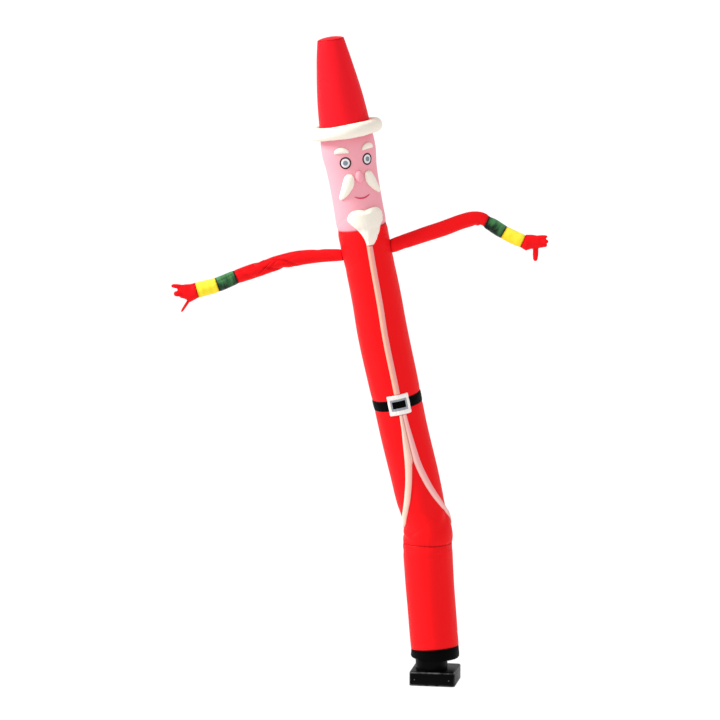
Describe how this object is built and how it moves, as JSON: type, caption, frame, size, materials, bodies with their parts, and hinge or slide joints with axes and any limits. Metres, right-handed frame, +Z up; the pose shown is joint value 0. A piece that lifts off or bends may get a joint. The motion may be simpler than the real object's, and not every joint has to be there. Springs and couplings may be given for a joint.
{
  "type": "inflatable air dancer on its blower",
  "caption": "Tall leaning tube figure of inflated nylon with a cone hat, puffed brim, padded beard, belt and banded bent arms, standing on a low square air blower.",
  "frame": {"origin": "centre of the blower housing's flat underside", "axes": "+Z up, -Y out of the housing's front face, +X to the viewer's right; the dancer is turned 9.5 degrees about +Z on the housing"},
  "size_m": [3.4749, 0.8769, 6.153],
  "materials": {
    "red_nylon": "satin ripstop nylon, lit through a little",
    "pink_nylon": "satin ripstop nylon, lit through a little",
    "black_nylon": "close-woven nylon, low sheen",
    "green_satin": "glossy satin",
    "yellow_satin": "glossy satin",
    "white_plush": "matte brushed white cloth",
    "trim_plush": "matte brushed cream cloth with a pink cast",
    "eye_white": "matte felt",
    "eye_rim": "matte felt",
    "eye_pupil": "matte felt",
    "lip_felt": "matte felt",
    "buckle_silver": "silver-coated flexible plastic",
    "blower_steel": "black powder-coated sheet steel",
    "screw_steel": "bright screw heads"
  },
  "bodies": {
    "root": {"leg_tube": "red_nylon", "coat_tube": "red_nylon", "hat": "red_nylon", "hat_crown": "red_nylon", "sleeve_left": "red_nylon", "sleeve_right": "red_nylon", "hand_left": "red_nylon", "hand_right": "red_nylon", "head_tube": "pink_nylon", "nose": "pink_nylon", "cuff": "black_nylon", "belt": "black_nylon", "band_green_left": "green_satin", "band_green_right": "green_satin", "band_yellow_left": "yellow_satin", "band_yellow_right": "yellow_satin", "brim": "white_plush", "beard": "white_plush", "moustache_left": "white_plush", "moustache_right": "white_plush", "brow_left": "white_plush", "brow_right": "white_plush", "placket": "trim_plush", "hem_trim_left": "trim_plush", "hem_trim_right": "trim_plush", "eye_left": "eye_white", "eye_right": "eye_white", "eye_rim_left": "eye_rim", "eye_rim_right": "eye_rim", "pupil_left": "eye_pupil", "pupil_right": "eye_pupil", "mouth": "lip_felt", "buckle": "buckle_silver", "blower_base": "blower_steel", "outlet_neck": "blower_steel", "collar_pan": "blower_steel", "intake_grille": "blower_steel", "power_inlet": "blower_steel", "housing_screw_1": "screw_steel", "housing_screw_2": "screw_steel", "housing_screw_3": "screw_steel", "housing_screw_4": "screw_steel"}
  },
  "joints": []
}
